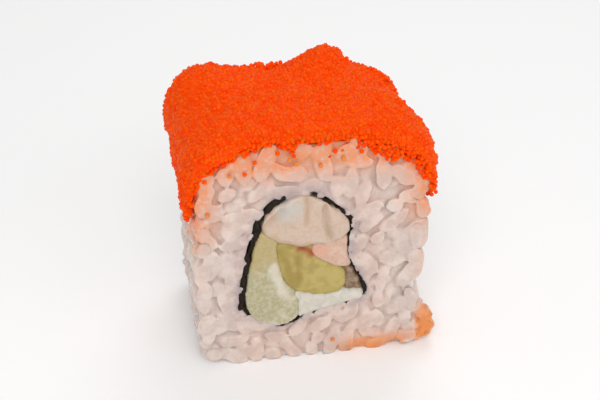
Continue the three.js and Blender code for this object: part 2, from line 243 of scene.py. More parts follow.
def nearest(tree, points, reach):
    """The nearest places on a surface, and how far they are; too far counts as the reach."""
    places = points.copy()
    gaps = np.full(len(points), float(reach))
    for i, point in enumerate(points.tolist()):
        place, _, _, gap = tree.find_nearest(point, reach)
        if place is not None:
            places[i] = place
            gaps[i] = gap
    return places, gaps


def modified(mesh, kind, **settings):
    """A mesh after one of Blender's modifiers. Its faces all have the same number of corners."""
    co, faces = mesh
    raw = bpy.data.meshes.new("raw")
    raw.from_pydata(co, [], faces)
    piece = bpy.data.objects.new("raw", raw)
    bpy.context.scene.collection.objects.link(piece)
    modifier = piece.modifiers.new("made", kind)
    for name, value in settings.items():
        setattr(modifier, name, value)
    graph = bpy.context.evaluated_depsgraph_get()
    made = bpy.data.meshes.new_from_object(piece.evaluated_get(graph))
    out = np.empty(len(made.vertices) * 3)
    made.vertices.foreach_get("co", out)
    corners = np.empty(len(made.loops), int)
    made.loops.foreach_get("vertex_index", corners)
    corners = corners.reshape(len(made.polygons), -1)
    bpy.data.objects.remove(piece)
    bpy.data.meshes.remove(raw)
    bpy.data.meshes.remove(made)
    return out.reshape(-1, 3), corners


def skin(mesh, voxel):
    """One outer skin of small square faces round closed meshes that may overlap."""
    return outer_only(*modified(mesh, "REMESH", mode="VOXEL", voxel_size=voxel))


def thinned(co, faces, marks, most):
    """The mesh and its marks with at most so many triangles, fewer where it is flat."""
    triangles = faces if faces.shape[1] == 3 else np.concatenate([faces[:, :3], faces[:, [0, 2, 3]]])
    fewer, kept = modified((co, triangles), "DECIMATE", ratio=most / len(triangles))
    tree = KDTree(len(co))
    for i, point in enumerate(co.tolist()):
        tree.insert(point, i)
    tree.balance()
    same = [tree.find(point)[1] for point in fewer.tolist()]
    return fewer, kept, {name: values[same] for name, values in marks.items()}


def outer_only(co, faces):
    """The mesh's largest connected part."""
    start = faces.ravel()
    end = np.roll(faces, -1, axis=1).ravel()
    label = np.arange(len(co))
    while True:
        low = np.minimum(label[start], label[end])
        lower = label.copy()
        np.minimum.at(lower, start, low)
        np.minimum.at(lower, end, low)
        lower = lower[lower]
        if (lower == label).all():
            break
        label = lower
    keep = label == np.bincount(label).argmax()
    fresh = np.cumsum(keep) - 1
    return co[keep], fresh[faces[keep[faces[:, 0]]]]


def normals_of(co, faces):
    """Outward direction at each point of a mesh of triangles or quads."""
    across = np.cross(co[faces[:, 2]] - co[faces[:, 0]], co[faces[:, -1]] - co[faces[:, 1]])
    total = np.zeros_like(co)
    for corner in faces.T:
        np.add.at(total, corner, across)
    return unit(total)


def smoothed(co, faces, rounds, share=0.5):
    """The points moved towards the middle of their neighbours."""
    start = faces.ravel()
    end = np.roll(faces, -1, axis=1).ravel()
    count = np.bincount(start, minlength=len(co))[:, None]
    for _ in range(rounds):
        total = np.stack([np.bincount(start, co[end, k], len(co)) for k in range(3)], axis=1)
        co = co + share * (total / np.maximum(count, 1) - co)
    return co


def scattered(mesh, count, draw):
    """Random points on a mesh, evenly by area, with the outward direction there."""
    co, faces = mesh
    if faces.shape[1] == 4:
        faces = np.concatenate([faces[:, :3], faces[:, [0, 2, 3]]])
    a, b, c = co[faces[:, 0]], co[faces[:, 1]], co[faces[:, 2]]
    across = np.cross(b - a, c - a)
    area = np.linalg.norm(across, axis=1)
    pick = draw.choice(len(faces), count, p=area / area.sum())
    u, v = draw.random(count), draw.random(count)
    over = u + v > 1
    u[over], v[over] = 1 - u[over], 1 - v[over]
    place = a[pick] + u[:, None] * (b - a)[pick] + v[:, None] * (c - a)[pick]
    return place, unit(across[pick])


# ---- The forms of the slice, in millimetres ----

CROWN_SQUARENESS = 4.6  # exponents of the superellipse that the rolling mat presses
BASE_SQUARENESS = 7.5
PRESSED_FLAT = 0.9  # how much of the round underside the board flattens
GAP = 0.3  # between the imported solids, which the soft pieces close
LEFT, RIGHT = math.radians(154), math.radians(24)  # where the roe ends on the flanks
TUNNEL_X = (CUT_BOX[0].x + CUT_BOX[1].x) / 2 / MM  # inside the nori all the way through
TUNNEL_Z = (CUT_BOX[0].z + CUT_BOX[1].z) / 2 / MM


def roll_radius(angle, sizes):
    """From the roll's middle to the rice surface. Angle 0 points right, a quarter turn up."""
    up = np.sin(angle) > 0
    power = np.where(up, CROWN_SQUARENESS, BASE_SQUARENESS)
    wide = sizes.roll_width / MM / 2
    tall = sizes.roll_height / MM / 2 + np.where(up, 0, PRESSED_FLAT)
    return (np.abs(np.cos(angle) / wide) ** power + np.abs(np.sin(angle) / tall) ** power) ** (-1 / power)


def on_roll(angle, radius, sizes):
    """x and z of a place seen from the roll's middle."""
    return radius * np.cos(angle), sizes.roll_height / MM / 2 + radius * np.sin(angle)


def roll_angle(x, z, sizes):
    return np.arctan2(z - sizes.roll_height / MM / 2, x)


# How far down the roe hangs over the cuts: [x, z] in mm, from the left flank to the right one.
FRINGE = [
    (-21.5, 31.4), (-19.9, 32.2), (-18.6, 34.8), (-17.3, 37.2), (-14.6, 39.5), (-12.4, 40.2),
    (-9.1, 41.9), (-7.4, 42.5), (-5.9, 43.0), (-4.9, 42.0), (-4.2, 41.3), (-3.2, 41.0),
    (-2.7, 42.0), (-2.3, 42.8), (0.6, 42.5), (6.3, 42.5), (8.0, 41.2), (9.4, 39.9),
    (11.6, 38.2), (16.0, 37.8), (17.4, 35.0), (18.9, 32.0), (21.5, 30.2),
]
FRINGE_BACK = 0.4  # mm, how much lower the roe hangs over the back cut


def fringe(x, face):
    """Height of the roe's lower edge on a cut face. The back one mirrors the front one, a little lower."""
    at, height = np.array(FRINGE).T
    return np.interp(x, at, height) if face < 0 else np.interp(-x, at, height) - FRINGE_BACK


def tunnel():
    """How wide the tunnel for the nori is: its radius at an angle and a depth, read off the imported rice."""
    tree = tree_of(*solid_of("rice"))
    angles = np.linspace(0, 2 * np.pi, 121)
    depths = np.linspace(FRONT + 0.8, BACK - 0.8, 9)
    radii = np.empty((len(depths), len(angles)))
    for i, y in enumerate(depths):
        for j, angle in enumerate(angles):
            way = Vector((math.cos(angle), 0, math.sin(angle)))
            radii[i, j] = tree.ray_cast(Vector((TUNNEL_X, y, TUNNEL_Z)), way)[3]

    def radius(angle, y):
        row = np.clip((y - depths[0]) / (depths[1] - depths[0]), 0, len(depths) - 1.001)
        column = (angle % (2 * np.pi)) / angles[1]
        i, j = row.astype(int), column.astype(int)
        v, u = row - i, column - j
        low = radii[i, j] * (1 - u) + radii[i, j + 1] * u
        high = radii[i + 1, j] * (1 - u) + radii[i + 1, j + 1] * u
        return low * (1 - v) + high * v

    return radius


def around_tunnel(co):
    """The angle and the distance of points round the tunnel's axis."""
    x, z = co[:, 0] - TUNNEL_X, co[:, 2] - TUNNEL_Z
    return np.arctan2(z, x), np.hypot(x, z)


def tube(outer, inner, depths):
    """A closed tube between two outlines, which are functions of a depth that give points (x, z)."""
    rings = []
    for y in depths:
        for x, z in (outer(y), inner(y)):
            rings.append(np.stack([x, np.full(len(x), y), z], axis=1))
    count = len(rings[0])
    here = np.arange(count)
    ahead = (here + 1) % count
    quads = []

    def band(low, high):
        corners = [(low, here), (low, ahead), (high, ahead), (high, here)]
        quads.append(np.stack([ring * count + place for ring, place in corners], 1))

    for i in range(0, len(rings) - 2, 2):
        band(i + 2, i)
        band(i + 1, i + 3)
    band(0, 1)
    band(len(rings) - 1, len(rings) - 2)
    quads = np.concatenate(quads)[:, ::-1]
    return np.concatenate(rings), np.concatenate([quads[:, :3], quads[:, [0, 2, 3]]])


def lying(normals, lean, draw):
    """Axes of things that lie on a surface: across, along and out of it, turned at random."""
    out = unit(normals + lean * draw.normal(size=normals.shape))
    along = unit(np.cross(out, draw.normal(size=normals.shape)))
    return np.stack([np.cross(along, out), along, out], axis=1)


def grain_form():
    """A cooked short grain of length, width and thickness 1: plump, blunt, nicked at its germ end."""
    co, faces = ball(3)
    x, y, z = (co / 2).T
    blunt = 1 + 0.16 * (1 - (2 * y) ** 2) * (np.abs(2 * y) ** 2) * 4
    nick = 1 - 0.18 * np.exp(-(((y - 0.42) / 0.12) ** 2) - (((z - 0.25) / 0.3) ** 2))
    bend = 0.08 * (2 * y) ** 2
    return np.stack([x * blunt * nick, y, z * blunt * nick - bend], axis=1), faces


# ---- From arrays to pieces of the scene ----


def make_piece(name, mesh, replaced, material, marks=None):
    """A smooth-shaded object that rides on the slice. marks are numbers kept at its points."""
    co, faces = mesh
    data = bpy.data.meshes.new(name)
    data.from_pydata(co * MM, [], faces)
    for mark, values in (marks or {}).items():
        kind, field = ("FLOAT", "value") if values.ndim == 1 else ("FLOAT_VECTOR", "vector")
        attribute = data.attributes.new(mark, kind, "POINT")
        attribute.data.foreach_set(field, values.astype(np.float32).ravel())
    data.shade_smooth()
    data.materials.append(material)
    piece = bpy.data.objects.new(name, data)
    bpy.context.scene.collection.objects.link(piece)
    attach(piece, BODY)
    if replaced:
        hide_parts(*replaced)
    return piece


# ---- Materials ----


def per(millimetres):
    """The scale of a pattern whose swells have a real size."""
    return 1 / (millimetres * MM)


def add(tree, kind, inputs=None, **settings):
    """Adds a node with its settings. An input is a number, a colour or another node's output."""
    made = tree.nodes.new("ShaderNode" + kind)
    for name, value in settings.items():
        setattr(made, name, value)
    for key, value in (inputs or {}).items():
        if isinstance(value, bpy.types.NodeSocket):
            tree.links.new(value, made.inputs[key])
        else:
            made.inputs[key].default_value = value
    return made


def mixed(tree, factor, low, high):
    """A colour between two, by a factor."""
    return add(tree, "Mix", {0: factor, 6: low, 7: high}, data_type="RGBA").outputs[2]


def ranged(tree, value, low, high, to_low=0.0, to_high=1.0):
    """A number that follows another from one range to a second, and stays within it."""
    inputs = {"Value": value, "From Min": low, "From Max": high, "To Min": to_low, "To Max": to_high}
    return add(tree, "MapRange", inputs, interpolation_type="SMOOTHSTEP").outputs[0]


def mark(tree, name):
    """A number kept at the points of the mesh."""
    return add(tree, "Attribute", attribute_name=name).outputs["Fac"]


def mottle(tree, size, detail=3.0, vector=None, stretch=0.0):
    """Irregular light and dark from 0 to 1, with swells of a size in millimetres."""
    vector = vector or add(tree, "TexCoord").outputs["Object"]
    inputs = {"Vector": vector, "Scale": per(size), "Detail": detail, "Distortion": stretch}
    return add(tree, "TexNoise", inputs).outputs[0]


def food(name, colour, tree_of_colour, **shader):
    """A material with one food shader. tree_of_colour fills the node tree and returns its linked inputs."""
    material = bpy.data.materials.new(name)
    material.use_nodes = True
    tree = material.node_tree
    surface = tree.nodes["Principled BSDF"]
    surface.inputs["Base Color"].default_value = colour
    for key, value in shader.items():
        surface.inputs[key.replace("_", " ")].default_value = value
    for key, value in tree_of_colour(tree).items():
        tree.links.new(value, surface.inputs[key])
    return material


def bumped(tree, height, depth, strength=1.0):
    """Fine relief from a pattern, with a depth in millimetres."""
    return add(tree, "Bump", {"Height": height, "Distance": depth * MM, "Strength": strength}).outputs[0]


def cooked_rice(colours):
    """Boiled short-grain rice, seasoned with vinegar and pressed: white opaque grains in clear starch.

    The eye sees soft white with light running through it, small wet highlights, and orange where roe
    has run.
    """

    def tree(t):
        cloud = mottle(t, 2.2)
        speck = mottle(t, 0.7)
        # Painted shade: the creases between grains are drawn darker, towards the starch colour, on top of the
        # real translucent starch there.
        crease_shade = mark(t, "crease_shade")
        clear = ranged(t, crease_shade, 0.0, 0.8)
        white = mixed(t, ranged(t, cloud, 0.35, 0.65, 0, 0.55), colours.rice, colours.rice_starch_and_crease_shade)
        body = mixed(t, clear, white, colours.rice_starch_and_crease_shade)
        spots = ranged(t, speck, 0.25, 0.75, 0.6, 1.2)
        stain = add(t, "Math", {0: mark(t, "stain"), 1: spots}, operation="MULTIPLY")
        stained = mixed(t, stain.outputs[0], body, colours.rice_tint)
        stained = mixed(t, mark(t, "soaked"), stained, colours.rice_soaked)
        clouds = ranged(t, cloud, 0.3, 0.7, 0.2, 0.9)
        # Painted shade close to the nori, broken up by the clouds.
        shade = add(t, "Math", {0: mark(t, "painted_nori_shade"), 1: clouds}, operation="MULTIPLY")
        dark = mixed(t, shade.outputs[0], stained, colours.rice_nori_shade)
        wet = ranged(t, speck, 0.4, 0.7, 0.2, 0.42)
        return {"Base Color": dark, "Roughness": wet, "Normal": bumped(t, mottle(t, 0.45), 0.05)}

    return food(
        "Cooked rice",
        colours.rice,
        tree,
        IOR=1.4,
        Subsurface_Weight=0.65,
        Subsurface_Radius=(1.0, 0.75, 0.6),
        Subsurface_Scale=1.3 * MM,
        Coat_Weight=0.25,
        Coat_Roughness=0.12,
    )


def seaweed_sheet(colours):
    """Nori: seaweed pulp dried in a thin sheet and gone damp, nearly black, with a faint oily sheen."""

    def tree(t):
        fibre = mottle(t, 0.5, detail=5.0, stretch=1.2)
        colour = mixed(t, ranged(t, fibre, 0.5, 0.8, 0, 0.7), colours.nori, colours.nori_sheen)
        rough = ranged(t, fibre, 0.3, 0.7, 0.42, 0.7)
        return {"Base Color": colour, "Roughness": rough, "Normal": bumped(t, fibre, 0.12)}

    return food("Damp nori", colours.nori, tree, Specular_IOR_Level=0.2)


def fish_egg(name, colour, other):
    """Salted capelin roe: tiny firm eggs with a wet clear skin and orange oil inside, lit right through."""

    def tree(t):
        shade = mark(t, "shade")
        return {"Base Color": mixed(t, shade, colour, other)}

    return food(
        name,
        colour,
        tree,
        Roughness=0.3,
        IOR=1.38,
        Specular_IOR_Level=0.08,
        Subsurface_Weight=0.5,
        Subsurface_Radius=(1.0, 0.25, 0.03),
        Subsurface_Scale=0.6 * MM,
    )


def roe_jelly(colours):
    """What binds the roe: egg skins and oil pressed together, deeper and more even than the eggs."""

    def tree(t):
        lump = mottle(t, 0.9)
        colour = mixed(t, ranged(t, lump, 0.35, 0.65), colours.roe_deep, colours.roe)
        return {"Base Color": colour, "Normal": bumped(t, lump, 0.3)}

    return food(
        "Pressed roe",
        colours.roe_deep,
        tree,
        Roughness=0.35,
        Specular_IOR_Level=0.08,
        Subsurface_Weight=0.4,
        Subsurface_Radius=(1.0, 0.25, 0.03),
        Subsurface_Scale=0.8 * MM,
    )


def flesh(name, low, high, size, stretch, wet, relief, middle=0.5, softness=0.18, through=0.8, third=None):
    """Soft wet food of two mingled colours and a third in places, whose fibres run along the roll."""

    def tree(t):
        way = add(t, "Attribute", attribute_name="way").outputs["Vector"]
        fibre = mottle(t, size, detail=4.0, vector=way, stretch=stretch)
        fine = mottle(t, size / 4, detail=2.0, vector=way)
        edge = mark(t, "second")
        bands = ranged(t, fibre, middle - softness, middle + softness)
        pattern = add(t, "Math", {0: bands, 1: edge}, operation="MAXIMUM")
        mingled = mixed(t, pattern.outputs[0], mixed(t, ranged(t, fine, 0.4, 0.65, 0, 0.35), low, high), high)
        colour = mixed(t, mark(t, "third"), mingled, third or low)
        rough = ranged(t, fine, 0.3, 0.7, *wet)
        return {"Base Color": colour, "Roughness": rough, "Normal": bumped(t, fine, relief)}

    return food(
        name,
        low,
        tree,
        IOR=1.38,
        Subsurface_Weight=0.45,
        Subsurface_Radius=(1.0, 0.7, 0.4),
        Subsurface_Scale=through * MM,
        Coat_Weight=0.35,
        Coat_Roughness=0.12,
    )


# ---- Operators: one for each piece or group of like pieces, and one for the stage ----

# Where starch hides the edge of the nori on the cuts: [angle in degrees, half width in degrees, reach in mm].
SMEARS = [[99.5, 8, 1.3], [234, 9, 1.2], [268, 3.5, 1.0], [287, 8, 1.2], [311, 6, 0.9], [5, 38, 0.3]]
SMEAR_DEEP = 0.6  # mm, how thick the starch over the nori is
CUT_HOLLOW = 0.8  # mm, how far the starch lies behind the cut grains
FLANK_HOLLOW = 1.15  # mm, and behind the grains on the flanks
SECOND_LAYER = 0.8  # mm, how much deeper the grains lie that show between the outer ones
GRAIN_CLOSE = 0.83  # how near grains lie, as a share of their width
RICE_TRIANGLES = 188000


def smear(angle):
    """How far rice reaches over the nori's edge at an angle round the tunnel, with small ragged spots."""
    degrees = np.degrees(angle)
    edge = np.stack([np.cos(angle), np.sin(angle), np.zeros_like(angle)], axis=-1)
    spots = 0.6 * np.clip(wavy(edge * 12, 2.2, 41), 0, 1)
    reaches = [spots - 0.05]
    for at, wide, reach in SMEARS:
        off = (degrees - at + 180) % 360 - 180
        reaches.append(reach * np.exp(-((off / wide) ** 4)))
    return np.max(reaches, axis=0)


def starch_film(radius, draw):
    """Flat spots of starch that the knife has drawn over the nori's edge on both cuts."""
    angle = np.radians(np.arange(0, 360, 2.2))
    reach = smear(angle)
    angle, reach = angle[reach > 0.2], reach[reach > 0.2]
    spots = []
    for face in (FRONT, BACK):
        away = radius(angle, np.full(len(angle), face)) - 0.15 - 0.5 * reach
        depth = np.full(len(angle), face - np.sign(face) * 0.2)
        middles = np.stack([TUNNEL_X + away * np.cos(angle), depth, TUNNEL_Z + away * np.sin(angle)], axis=1)
        wide = 0.35 + 0.5 * reach * draw.uniform(0.8, 1.25, len(angle))
        lengths = wide[:, None] * [1, 0, 1] + [0, 0.34, 0]
        spots.append(copies(*ball(2), middles, np.tile(np.eye(3), (len(angle), 1, 1)), lengths))
    return joined(*spots)


def packed_grains(middles, axes, layer, sizes):
    """The grains that find room, the first ones first. Those of the second layer may lie below the first."""
    wide, long = sizes.grain_width / MM, sizes.grain_length / MM
    steps = np.linspace(-0.5, 0.5, 4) * (long - wide)
    apart = middles - axes[:, 2] * layer[:, None] * (wide * 0.8 - SECOND_LAYER)
    rows = apart[:, None] + steps[:, None] * axes[:, None, 1]
    kept = spread(rows, wide * GRAIN_CLOSE)
    return middles[kept], axes[kept]


def flank_grains(sizes, draw):
    """Middles and axes of the grains on the flanks and the lower edges."""
    fine = np.linspace(0, 2 * np.pi, 1441)
    x, z = on_roll(fine, roll_radius(fine, sizes), sizes)
    run = np.concatenate([[0], np.cumsum(np.hypot(np.diff(x), np.diff(z)))])
    angle = np.interp(draw.uniform(0, run[-1], 16000), run, fine)
    x, z = on_roll(angle, roll_radius(angle, sizes), sizes)
    x1, z1 = on_roll(angle + 0.01, roll_radius(angle + 0.01, sizes), sizes)
    x0, z0 = on_roll(angle - 0.01, roll_radius(angle - 0.01, sizes), sizes)
    out = unit(np.stack([z1 - z0, np.zeros_like(x), x0 - x1], axis=1))
    margin = math.radians(16)
    bare = ((angle < RIGHT + margin) | (angle > LEFT - margin)) & (z > 0.5)
    layer = np.arange(len(x)) > len(x) * 0.6
    sunk = sizes.grain_width / MM * 0.5 + draw.uniform(-0.12, 0.12, len(x)) + SECOND_LAYER * layer
    middles = np.stack([x, draw.uniform(FRONT, BACK, len(x)), z], axis=1) - out * sunk[:, None]
    return packed_grains(middles[bare], lying(out[bare], 0.1, draw), layer[bare], sizes)


def cut_grains(face, radius, sizes, draw):
    """Middles and axes of the grains that the knife has gone through on a cut face."""
    outward = np.sign(face)
    half = sizes.roll_width / MM / 2
    x = draw.uniform(-half, half, 14000)
    z = draw.uniform(0, sizes.roll_height / MM, 14000)
    layer = np.arange(len(x)) > len(x) * 0.55
    y = face - outward * (draw.uniform(0.1, 0.9, len(x)) + SECOND_LAYER * layer)
    middles = np.stack([x, y, z], axis=1)
    axes = lying(np.tile([0.0, outward, 0.0], (len(middles), 1)), 0.45, draw)
    good = np.ones(len(x), bool)
    for share in (-0.5, 0, 0.5):
        end = middles + share * (sizes.grain_length - sizes.grain_width) / MM * axes[:, 1]
        angle = roll_angle(end[:, 0], end[:, 2], sizes)
        reach = np.hypot(end[:, 0], end[:, 2] - sizes.roll_height / MM / 2)
        around, away = around_tunnel(end)
        edge = radius(around, np.full(len(x), face)) - smear(around)
        good &= (reach < roll_radius(angle, sizes) - 1.15) & (away > edge + (0.8 if share == 0 else 0.4))
    return packed_grains(middles[good], axes[good], layer[good], sizes)


def rice_mesh(sizes):
    """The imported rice: a core with its grains pressed into it, cut flat at both ends."""
    draw = np.random.default_rng(sizes.seed)
    radius = tunnel()
    turns = np.linspace(0, 2 * np.pi, 180, endpoint=False)

    def outer(y):
        return on_roll(turns, roll_radius(turns, sizes) - FLANK_HOLLOW, sizes)

    def inner(y):
        away = radius(turns, np.full(len(turns), y)) - GAP
        return TUNNEL_X + away * np.cos(turns), TUNNEL_Z + away * np.sin(turns)

    core = tube(outer, inner, np.linspace(FRONT + CUT_HOLLOW, BACK - CUT_HOLLOW, 9))
    wide, long = sizes.grain_width / MM, sizes.grain_length / MM
    parts = [core]
    for cut, (middles, axes) in [
        (0, flank_grains(sizes, draw)),
        (FRONT, cut_grains(FRONT, radius, sizes, draw)),
        (BACK, cut_grains(BACK, radius, sizes, draw)),
    ]:
        lengths = np.array([wide, long, wide * 0.92]) * draw.uniform(0.9, 1.12, (len(middles), 3))
        co, faces = copies(*grain_form(), middles, axes, lengths)
        parts.append((sliced(co, cut, len(middles), draw), faces))
    parts += [soaked_lump(), starch_film(radius, draw)]
    co, faces = skin(joined(*parts), sizes.rice_skin / MM)
    co[:, 0] += 0.1 * wavy(co, 1.8, 1)
    co[:, 2] += 0.1 * wavy(co, 1.8, 2)
    return trimmed(co, faces, radius, sizes)


def sliced(co, cut, count, draw):
    """Grains cut by the knife, each at a slightly different height, because they give a little."""
    if cut:
        depth = np.repeat(draw.uniform(0.0, 0.3, count), len(co) // count)
        co[:, 1] = np.maximum(co[:, 1], cut + depth) if cut < 0 else np.minimum(co[:, 1], cut - depth)
    return co


# Middles of the lump's balls: [x, z] in mm.
LUMP = [(19.6, 2.2), (20.2, 3.3), (20.1, 4.7), (19.6, 6.1), (18.8, 7.3), (18.6, 1.4), (18.3, 4.2)]


def lump_balls():
    """Middles and radii of the balls that make the lump, unevenly heaped."""
    draw = np.random.default_rng(17)
    middles = np.array([(x, FRONT + 1.2 + back, z) for back in (0.0, 1.6, 3.2) for x, z in LUMP])
    middles += draw.uniform(-1, 1, middles.shape) * [0.25, 0.6, 0.45]
    middles[:, 0] -= 0.2 * (middles[:, 1] - FRONT - 1.2)
    radii = np.linspace(1.45, 0.9, len(middles)) * draw.uniform(0.9, 1.15, len(middles))
    middles[:, 1] = np.maximum(middles[:, 1], FRONT + radii - 0.1)
    return middles, radii[:, None] * np.ones((1, 3))


def soaked_lump():
    """The lump of soaked rice at the lower right edge of the front cut, as balls."""
    middles, lengths = lump_balls()
    return copies(*ball(3), middles, np.tile(np.eye(3), (len(middles), 1, 1)), lengths)


def settled(co, sizes):
    """The rice swollen up to the roe at its crown, and drawn in on its lower right flank."""
    x, y, z = co.T
    angle = np.linspace(0.02, np.pi - 0.02, 181)
    crown_x, crown_z = on_roll(angle, roll_radius(angle, sizes), sizes)
    crown = np.interp(x, crown_x[::-1], crown_z[::-1])
    for face in (FRONT, BACK):
        lift = np.clip(fringe(x, face) + 1.0 - crown, 0, 2.2) * (np.abs(x) < 15)
        lifted = z + lift * np.exp(-(((y - face) / 1.5) ** 2)) * np.clip((z - 36) / 4, 0, 1)
        z = np.maximum(z, np.minimum(lifted, fringe(x, face) + 0.3))
    dent = 1.0 * np.exp(-(((z - 13.5) / 5) ** 2) - (((y - FRONT) / 9) ** 2)) * np.clip((x - 9) / 9, 0, 1)
    return np.stack([x - dent, y, z], axis=1)


def trimmed(co, faces, radius, sizes):
    """The rice cut flat by the knife and the board, and fitted round the nori."""
    co = settled(co, sizes)
    uneven = 0.06 * wavy(co, 4.5, 3) + 0.04 * wavy(co, 1.6, 4)
    around, away = around_tunnel(co)
    drawn = smear(around)
    proud = 0.24 * np.clip(drawn / 0.4, 0, 1) * (away < radius(around, co[:, 1]) + 0.4)
    lip = 0.7 * np.exp(-(((away - radius(around, co[:, 1])) / 1.1) ** 2))
    for face in (FRONT, BACK):
        behind = (face - co[:, 1]) * np.sign(face)
        co[:, 1] = np.where(behind < 1.7, face - np.sign(face) * behind * (1 - lip), co[:, 1])
    co[:, 1] = np.clip(co[:, 1], FRONT + 0.08 + uneven - proud, BACK - 0.08 + uneven + proud)
    behind = np.minimum(co[:, 1] - FRONT, BACK - co[:, 1])
    over = np.where((behind < SMEAR_DEEP) & (drawn > 0.15), drawn + 0.4, 0)
    least = radius(around, co[:, 1]) - GAP - 0.08 - over
    push = np.maximum(least - away, 0)
    co[:, 0] += push * np.cos(around)
    co[:, 2] += push * np.sin(around)
    co = smoothed(co, faces, 1, 0.4)
    co[:, 2] = np.maximum(co[:, 2], 0.0)
    return co, faces


def rice_marks(co, faces, sizes):
    """What the rice shows at each point: painted shade in the hollows between grains, roe stain, and painted
    shade where the nori shows through.
    """
    flat = smoothed(co, faces, 9)
    # How deep each point lies in a crease between grains, for the painted shade there.
    crease_shade = np.clip(np.sum((flat - co) * normals_of(co, faces), axis=1) / 0.16, 0, 1)
    _, from_roe = nearest(tree_of(*solid_of("roe")), co, 7)
    _, from_nori = nearest(tree_of(*solid_of("nori")), co, 3.2)
    cloud = wavy(co, 5, 8)
    x, y, z = co.T
    crown = 0.82 + 0.5 * np.clip((14 - np.abs(x)) / 4, 0, 1)
    stain = 0.9 * np.exp(-((from_roe / (1.6 + 0.9 * cloud)) ** 2))
    stain = stain + crown * np.exp(-((from_roe / 5.5) ** 2))
    lump = np.exp(-(((x - 20.2) / 2.2) ** 4) - (((z - 4.0) / 4.0) ** 4) - (((y - FRONT - 2) / 4.5) ** 4))
    edge = np.exp(-((z / 2.7) ** 2)) * np.clip((x - 3) / 4, 0, 1)
    edge = edge * np.clip(1.1 + 0.6 * wavy(co, 2.4, 9), 0, 1)
    flank = np.where(x > 0, 0.36, 0.22) * np.clip((np.abs(x) - 15) / 3, 0, 1)
    flank *= np.clip((z - 6) / 10, 0, 1) * (0.8 + 0.4 * cloud)
    left = np.exp(-(((x + 19.6) / 1.6) ** 2) - (((z - 26.5) / 2.2) ** 2) - (((y - FRONT) / 4) ** 2))
    stain = np.clip(np.max([stain, lump, edge, flank, left], axis=0), 0, 1)
    uneven = lump * (1.1 + 0.2 * wavy(co, 1.2, 10))
    soaked = np.clip(np.max([uneven, 0.85 * edge, 0.5 * left], axis=0), 0, 1)
    # Painted shade close to the nori, fading within about a millimetre.
    near = 0.75 * np.exp(-from_nori / 1.1)
    return {"crease_shade": crease_shade, "stain": stain, "soaked": soaked, "painted_nori_shade": near}


class SUSHI_OT_rice(bpy.types.Operator):
    """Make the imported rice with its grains"""

    bl_idname = "sushi.rice"
    bl_label = "Rice"

    def execute(self, context):
        sizes, colours = context.scene.sushi_sizes, context.scene.sushi_colours
        co, faces = rice_mesh(sizes)
        co, faces, marks = thinned(co, faces, rice_marks(co, faces, sizes), RICE_TRIANGLES)
        make_piece("cooked_rice", (co, faces), ["rice"], cooked_rice(colours), marks)
        return {"FINISHED"}


def nori_mesh(sizes):
    """The sheet round the filling, crinkled by the damp, with torn-looking cut edges."""
    co, faces = skin(solid_of("nori"), 0.28)
    around, _ = around_tunnel(co)
    crinkle = 0.7 * wavy(co * [1, 0.5, 1], 1.9, 11) + 0.45 * wavy(co * [1, 0.4, 1], 0.9, 12)
    crinkle = sizes.crinkle / MM * crinkle
    behind = np.minimum(co[:, 1] - FRONT, BACK - co[:, 1])
    loose = crinkle * (1 + 1.3 * np.exp(-((behind / 1.2) ** 2)))
    co[:, 0] += loose * np.cos(around)
    co[:, 2] += loose * np.sin(around)
    torn = 0.3 * wavy(co * [1, 0, 1], 1.3, 13) + 0.14 * wavy(co * [1, 0, 1], 0.5, 14)
    torn -= 0.5 * np.clip(smear(around) - 0.3, 0, 1)
    co[:, 1] += np.where(co[:, 1] < 0, -1, 1) * torn * np.exp(-((behind / 0.8) ** 2))
    return smoothed(co, faces, 1, 0.4), faces


class SUSHI_OT_nori(bpy.types.Operator):
    """Make the sheet of nori round the filling"""

    bl_idname = "sushi.nori"
    bl_label = "Nori"

    def execute(self, context):
        mesh = nori_mesh(context.scene.sushi_sizes)
        make_piece("nori_sheet", mesh, ["nori"], seaweed_sheet(context.scene.sushi_colours))
        return {"FINISHED"}


# The filling turns, shifts and spreads a little on its way through the slice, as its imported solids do.
FILLING_X, FILLING_Z = -1.8, 20.5
FILLING_TURN, FILLING_SHIFT, FILLING_SPREAD = 0.2, 0.9, 0.05


def straight(co):
    """Where points of the filling would be if it ran straight back from the front cut."""
    along = (co[:, 1] - FRONT) / (BACK - FRONT)
    turn, spreading = FILLING_TURN * along, 1 + FILLING_SPREAD * np.sin(along * np.pi)
    x = co[:, 0] - FILLING_X - FILLING_SHIFT * along
    z = co[:, 2] - FILLING_Z
    back_x = (x * np.cos(turn) + z * np.sin(turn)) / spreading
    back_z = (-x * np.sin(turn) + z * np.cos(turn)) * spreading
    return np.stack([FILLING_X + back_x, co[:, 1], FILLING_Z + back_z], axis=1)


def off_line(way, points):
    """How far points are from a line of [x, z] places, seen along the roll."""
    at = way[:, [0, 2]]
    gaps = []
    for a, b in zip(points[:-1], points[1:]):
        a, b = np.array(a), np.array(b)
        share = np.clip(((at - a) @ (b - a)) / ((b - a) @ (b - a)), 0, 1)
        gaps.append(np.linalg.norm(at - a - share[:, None] * (b - a), axis=1))
    return np.min(gaps, axis=0)


